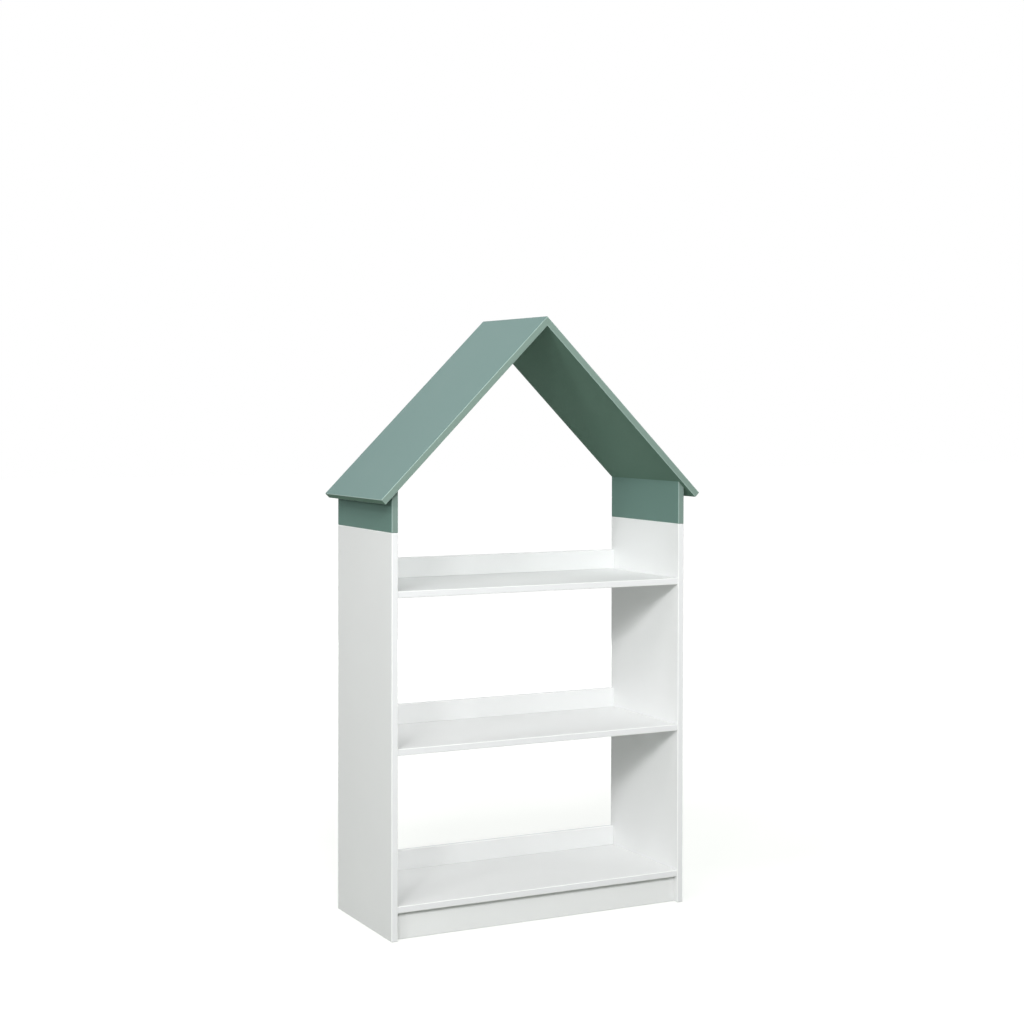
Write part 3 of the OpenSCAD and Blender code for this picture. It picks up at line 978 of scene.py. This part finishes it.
biscuitPlaces = [
    place((0, y, joints["biscuitHeight"]), leftToRight, upward) for y in joints["biscuits"]
]
setOut(biscuit, "ridgeBiscuits", biscuitPlaces, "ridge_biscuits", pressedBeech)
bpy.data.objects.remove(biscuit)
print("biscuits made")

# Wall bracket: a strip bent round a small radius, with rounded corners and punched holes
wallBracket = {
    "width": 30,
    "leg": 25,
    "thickness": 2,
    "bend": 3,          # outer radius
    "corner": 5,
    "screwHole": 2,
    "wallHole": 2.5,
    "wallHoleDrop": 15,
    "burr": 0.25,
    "burrAngle": math.radians(50),
    "steps": 6,         # in the bend and in each corner
}
leg, bend = wallBracket["leg"], wallBracket["bend"]
flat = leg - bend
bpy.ops.object.select_all(action="DESELECT")
bpy.ops.mesh.primitive_plane_add(size=1, location=(0, -bend - flat / 2, 0))
bracket = bpy.context.object
bracket.scale = (wallBracket["width"], flat, 1)
finishPlace(bracket)


def atBend(edge):
    reach = -bend - making["slack"]
    return all(bracket.data.vertices[i].co.y > reach for i in edge.vertices)


# the free edge at the wall is spun round the bend, and drawn down
editSome(bracket, "EDGE", atBend)
bpy.ops.mesh.spin(
    steps=wallBracket["steps"], angle=quarterTurn, center=(0, -bend, -bend), axis=(1, 0, 0)
)
bpy.ops.mesh.extrude_region_move(TRANSFORM_OT_translate={"value": (0, 0, -flat)})
endEdit()
freeEnd = -leg + making["slack"]
editSome(bracket, "VERT", lambda corner: min(corner.co.y, corner.co.z) < freeEnd)
bpy.ops.mesh.bevel(
    offset=wallBracket["corner"], segments=wallBracket["steps"], affect="VERTICES"
)
bpy.ops.mesh.select_all(action="SELECT")
bpy.ops.mesh.normals_make_consistent(inside=False)
endEdit()
wall = bracket.modifiers.new("wall", "SOLIDIFY")
wall.thickness = wallBracket["thickness"]
wall.use_even_offset = True
applyAll(bracket)
through = 4 * wallBracket["thickness"]
middleOfStrip = -wallBracket["thickness"] / 2
screwDepth = joints["railMiddle"] - joints["bracketRear"]
screwSpots = (-joints["screwGap"] / 2, joints["screwGap"] / 2)
for x in screwSpots:
    cutAway(bracket, rod(wallBracket["screwHole"], through, (x, screwDepth, middleOfStrip)))
wallHole = (0, middleOfStrip, -wallBracket["wallHoleDrop"])
cutAway(bracket, rod(wallBracket["wallHole"], through, wallHole, (quarterTurn, 0, 0)))
deburr = bracket.modifiers.new("deburr", "BEVEL")
deburr.width = wallBracket["burr"]
deburr.segments = making["bevelSteps"]
deburr.limit_method = "ANGLE"
deburr.angle_limit = wallBracket["burrAngle"]
applyAll(bracket)
tidyMesh(bracket)
for side, name in ((-1, "left"), (1, "right")):
    corner = (side * joints["bracketMiddle"], joints["bracketRear"], joints["bracketTop"])
    setOut(
        bracket, name + "WallBracket", [place(corner, leftToRight, upward)],
        name + "_wall_bracket", stripSteel,
    )
bpy.data.objects.remove(bracket)

# Wood screws of the brackets: pan heads with a cross, threaded to the point
woodScrew = {
    "profile": [   # radius and height, from the head to the point
        (1.5, -2.2), (2.1, -2.15), (2.75, -1.7), (3.2, -1.3), (3.45, -0.85), (3.5, -0.4),
        (3.4, 0), (1.2, 0), (1.15, 13), (0.12, 16),
    ],
    "sides": 32,
    "thread": {
        "core": 1.15, "crest": 1.75, "ridge": 0.75, "pitch": 1.5, "start": 0.9, "end": 15.6,
        "steps": 24, "tip": (13, 16.2),
    },
    "cross": (4, 0.8, 1.2),
}
screw = threadedPiece("woodScrew", woodScrew)
screwHeight = joints["bracketTop"] - wallBracket["thickness"]
screwPlaces = [
    place((middle + x, joints["railMiddle"], screwHeight), leftToRight, upward)
    for middle in (-joints["bracketMiddle"], joints["bracketMiddle"]) for x in screwSpots
]
setOut(screw, "bracketScrews", screwPlaces, "bracket_screws", brightZinc)
bpy.data.objects.remove(screw)
print("brackets and screws made")


# Studio: a pale floor and soft lamps. The floor glows for the camera and in reflections
# alone, less where the bookcase stands, so that it looks white and keeps the shadow.
studio = {
    "floorSize": 60,
    "floorTone": "#A5A9A3",
    "glowNear": 0.68,
    "glowFar": 1.0,
    "nearEdge": 0.9,      # metres from the middle
    "farEdge": 3.5,
    "airTone": "#545653",
}
lampAim = (0, 0, 0.8)
lamps = {
    "keyLamp": {"place": (-2.78, -6.56, 4.43), "size": (1.1, 1.1), "power": 173.2},
    "nearLamp": {"place": (-1.04, -2.85, 2.55), "size": (0.9, 0.45), "power": 20.5},
    "crossLamp": {"place": (-5.06, -5.62, 3.4), "size": (0.9, 1.8), "power": 104.5},
    "sideLamp": {"place": (-6.92, -3.52, 2.74), "size": (1.4, 0.7), "power": 110.7},
    "highSideLamp": {"place": (-5.95, 0, 6.15), "size": (1.2, 1.0), "power": 76.9},
    "highLamp": {"place": (-1.95, -1.5, 3.3), "size": (1.2, 1.2), "power": 22.5},
    "fillLamp": {"place": (1.4, -3.0, 2.0), "size": (1.5, 1.2), "power": 16.4},
    "rightLamp": {"place": (4.1, -2.3, 2.5), "size": (1.2, 1.2), "power": 31.8},
    "backLeftLamp": {"place": (-0.65, 4.3, 3.3), "size": (2.4, 1.4), "power": 34.8},
    "backRightLamp": {"place": (1.6, 2.78, 4.63), "size": (1.8, 1.4), "power": 8.2},
    "backLamp": {"place": (2.4, 5.6, 0.75), "size": (1.6, 0.8), "power": 63.5},
    "rightSideLamp": {"place": (6.2, 0.4, 0.95), "size": (1.4, 0.9), "power": 87.1},
    "topLamp": {"place": (0, 1.4, 3.5), "size": (2.0, 1.6), "power": 25.6},
}

bpy.ops.object.select_all(action="DESELECT")
bpy.ops.mesh.primitive_plane_add(size=studio["floorSize"], location=(0, 0, 0))
floor = bpy.context.object
floor.name = "studioFloor"


def seenDirectly(tree):
    # 1 for the camera, for reflections and through glass, and 0 for the light in the room
    ray = addNode(tree, "ShaderNodeLightPath")
    seen = addNode(
        tree, "ShaderNodeMath", {"operation": "MAXIMUM"},
        {0: ray.outputs["Is Camera Ray"], 1: ray.outputs["Is Glossy Ray"]},
    )
    return addNode(
        tree, "ShaderNodeMath", {"operation": "MAXIMUM"},
        {0: seen.outputs[0], 1: ray.outputs["Is Transmission Ray"]},
    ).outputs[0]


material, tree = newMaterial("palePaperFloor")
spot = addNode(tree, "ShaderNodeTexCoord")
away = addNode(tree, "ShaderNodeVectorMath", {"operation": "LENGTH"}, {0: spot.outputs["Object"]})
glowHere = addNode(
    tree, "ShaderNodeMapRange",
    {
        "interpolation_type": "SMOOTHSTEP",
        **fromTo(studio["nearEdge"], studio["farEdge"], studio["glowNear"], studio["glowFar"]),
    },
    {"Value": away.outputs["Value"]},
)
strength = addNode(
    tree, "ShaderNodeMath", {"operation": "MULTIPLY"},
    {0: seenDirectly(tree), 1: glowHere.outputs[0]},
)
glow = addNode(tree, "ShaderNodeEmission", links={"Strength": strength.outputs[0]})
paper = addNode(tree, "ShaderNodeBsdfDiffuse", {"Color": hexColour(studio["floorTone"])})
upperSide = addNode(tree, "ShaderNodeAddShader", links={0: paper.outputs[0], 1: glow.outputs[0]})
# clear from underneath, so that the underside can be looked at
side = addNode(tree, "ShaderNodeNewGeometry")
clear = addNode(tree, "ShaderNodeBsdfTransparent")
skin = addNode(
    tree, "ShaderNodeMixShader",
    links={0: side.outputs["Backfacing"], 1: upperSide.outputs[0], 2: clear.outputs[0]},
)
addNode(tree, "ShaderNodeOutputMaterial", links={"Surface": skin.outputs[0]})
floor.data.materials.append(material)

world = bpy.data.worlds.new("studioAir")
bpy.context.scene.world = world
world.use_nodes = True
tree = world.node_tree
tree.nodes.clear()
# white to look at, while the air itself gives only a little light from all sides
air = addNode(
    tree, "ShaderNodeMix", {"data_type": "RGBA", 6: hexColour(studio["airTone"]), 7: (1, 1, 1, 1)},
    {0: seenDirectly(tree)},
)
surround = addNode(tree, "ShaderNodeBackground", links={"Color": air.outputs[2]})
addNode(tree, "ShaderNodeOutputWorld", links={"Surface": surround.outputs[0]})

for name, lamp in lamps.items():
    ahead = Vector(lampAim) - Vector(lamp["place"])
    tilt = math.atan2(math.hypot(ahead.x, ahead.y), -ahead.z)
    bpy.ops.object.light_add(
        type="AREA", location=lamp["place"], rotation=(tilt, 0, -math.atan2(ahead.x, ahead.y))
    )
    light = bpy.context.object
    light.name = name
    light.data.shape = "RECTANGLE"
    light.data.size, light.data.size_y = lamp["size"]
    light.data.energy = lamp["power"]
print("room lit by", len(lamps), "lamps")

# Camera, found from the edges in the photo
photoView = {
    "location": (-2.42211, -4.75433, 1.42187),
    "turn": (89.0405, -0.1190, -27.4788),   # degrees
    "lens": 66.738,
    "sensorWidth": 36,
    "shift": (-0.01758, -0.07617),
    "clipEnd": 200,    # metres, past the floor's edge
}
bpy.ops.object.camera_add(
    location=photoView["location"], rotation=[math.radians(angle) for angle in photoView["turn"]]
)
camera = bpy.context.object
camera.name = "photoCamera"
camera.data.sensor_width = photoView["sensorWidth"]
camera.data.lens = photoView["lens"]
camera.data.shift_x, camera.data.shift_y = photoView["shift"]
camera.data.clip_end = photoView["clipEnd"]
bpy.context.scene.camera = camera
bpy.context.scene.view_settings.view_transform = "Standard"
print("camera set")
